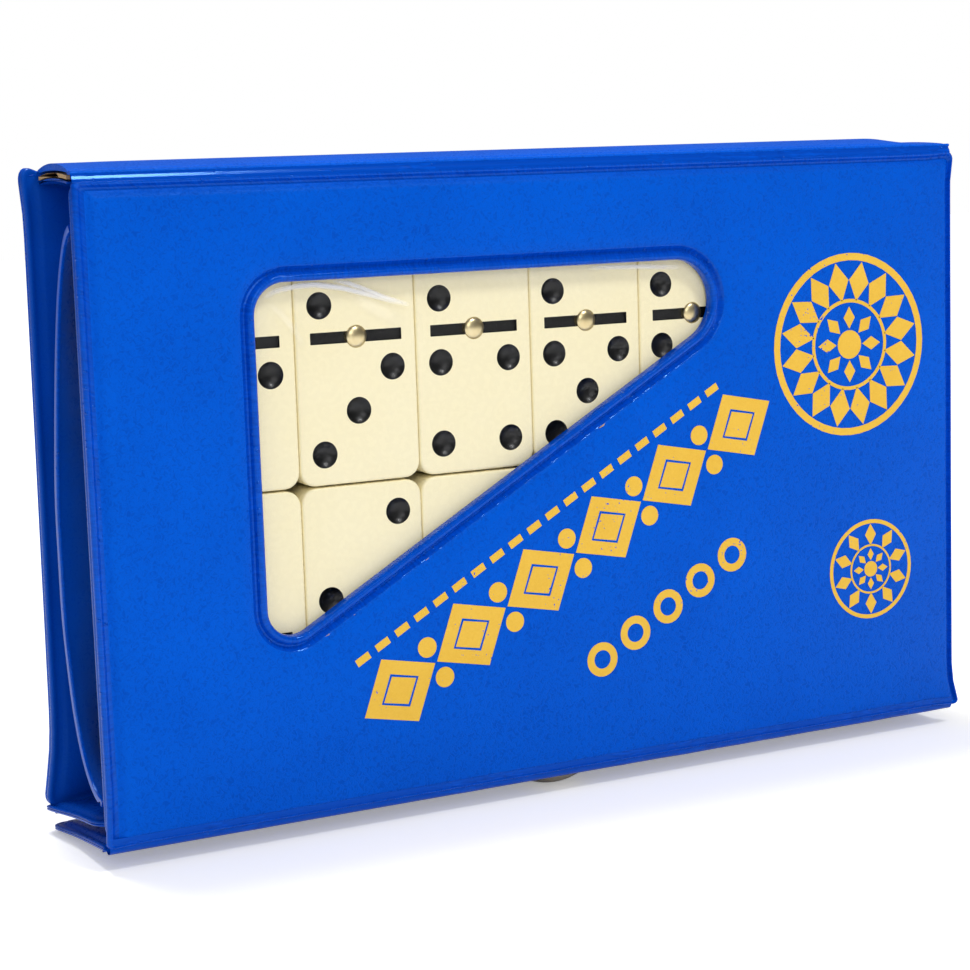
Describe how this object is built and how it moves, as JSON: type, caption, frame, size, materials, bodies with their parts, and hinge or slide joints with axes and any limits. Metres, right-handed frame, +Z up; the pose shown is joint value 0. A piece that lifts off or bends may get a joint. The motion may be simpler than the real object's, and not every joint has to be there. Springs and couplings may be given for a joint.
{
  "type": "domino storage box",
  "caption": "Wallet case for a domino set: board covers in welded vinyl, hinged spine, window, inner pocket, snap flap, with the tiles inside.",
  "frame": {"origin": "middle of the base, at the level that the closing flap and the snap's cap rest on", "axes": "+X along the case, to the right as the window is seen; +Y from the window side to the back cover; +Z up, from the closing flap to the spine"},
  "size_m": [0.1922, 0.0348, 0.128],
  "materials": {
    "outer_vinyl": "satin, fine grain",
    "inner_vinyl": "satin, smooth",
    "greyboard": "raw cut edge",
    "clear_film": "clear, glossy",
    "nickelled_steel": "bright nickel",
    "spring_steel": "drawn wire",
    "ivory_plastic": "polished, black painted pips",
    "brass": "polished"
  },
  "bodies": {
    "front_cover": {"front_skin": "outer_vinyl", "front_board": "greyboard", "front_lining": "inner_vinyl", "window_film": "clear_film", "pocket_sheet": "inner_vinyl", "pocket_hem": "inner_vinyl"},
    "spine": {"spine_skin": "outer_vinyl", "spine_board": "greyboard", "spine_lining": "inner_vinyl"},
    "back_cover": {"back_skin": "outer_vinyl", "back_board": "greyboard", "back_lining": "inner_vinyl"},
    "stud_strip": {"strip_skin": "outer_vinyl", "strip_board": "greyboard", "strip_lining": "inner_vinyl", "snap_stud": "nickelled_steel", "stud_rivet": "nickelled_steel"},
    "closing_flap": {"flap_skin": "outer_vinyl", "flap_board": "greyboard", "flap_lining": "inner_vinyl", "snap_cap": "nickelled_steel", "snap_socket": "nickelled_steel", "snap_spring": "spring_steel"},
    "tiles_front_upper": {"pins_front_upper": "brass", "tile_2_2": "ivory_plastic", "tile_2_3": "ivory_plastic", "tile_2_4": "ivory_plastic", "tile_2_5": "ivory_plastic", "tile_2_6": "ivory_plastic", "tile_3_3": "ivory_plastic", "tile_3_4": "ivory_plastic"},
    "tiles_front_lower": {"pins_front_lower": "brass", "tile_1_0": "ivory_plastic", "tile_2_0": "ivory_plastic", "tile_3_0": "ivory_plastic", "tile_4_0": "ivory_plastic", "tile_5_0": "ivory_plastic", "tile_6_0": "ivory_plastic", "tile_0_0": "ivory_plastic"},
    "tiles_back_upper": {"pins_back_upper": "brass", "tile_1_1": "ivory_plastic", "tile_1_2": "ivory_plastic", "tile_1_3": "ivory_plastic", "tile_1_4": "ivory_plastic", "tile_1_5": "ivory_plastic", "tile_1_6": "ivory_plastic", "tile_3_5": "ivory_plastic"},
    "tiles_back_lower": {"pins_back_lower": "brass", "tile_3_6": "ivory_plastic", "tile_4_4": "ivory_plastic", "tile_4_5": "ivory_plastic", "tile_4_6": "ivory_plastic", "tile_5_5": "ivory_plastic", "tile_5_6": "ivory_plastic", "tile_6_6": "ivory_plastic"}
  },
  "joints": [
    {"name": "spine_fold", "type": "hinge", "parent": "front_cover", "child": "spine", "pos_m": [0, -0.01606, 0.12505], "axis": [1, 0, 0], "range_deg": [0, 90]},
    {"name": "back_fold", "type": "hinge", "parent": "spine", "child": "back_cover", "pos_m": [0, 0.01234, 0.12505], "axis": [1, 0, 0], "range_deg": [0, 90]},
    {"name": "strip_fold", "type": "hinge", "parent": "back_cover", "child": "stud_strip", "pos_m": [0, 0.0159, 0.00487], "axis": [1, 0, 0], "range_deg": [-3, 0]},
    {"name": "flap_fold", "type": "hinge", "parent": "front_cover", "child": "closing_flap", "pos_m": [0, -0.01569, 0.0046], "axis": [1, 0, 0], "range_deg": [-160, 0]},
    {"name": "tiles_front_upper_slide", "type": "slide", "parent": "front_cover", "child": "tiles_front_upper", "axis": [-1, 0, 0], "range_m": [0, 0.192], "deforming": ["pocket_sheet", "pocket_hem"]},
    {"name": "tiles_front_lower_slide", "type": "slide", "parent": "front_cover", "child": "tiles_front_lower", "axis": [-1, 0, 0], "range_m": [0, 0.192], "deforming": ["pocket_sheet", "pocket_hem"]},
    {"name": "tiles_back_upper_slide", "type": "slide", "parent": "front_cover", "child": "tiles_back_upper", "axis": [-1, 0, 0], "range_m": [0, 0.192], "deforming": ["pocket_sheet", "pocket_hem"]},
    {"name": "tiles_back_lower_slide", "type": "slide", "parent": "front_cover", "child": "tiles_back_lower", "axis": [-1, 0, 0], "range_m": [0, 0.192], "deforming": ["pocket_sheet", "pocket_hem"]}
  ]
}
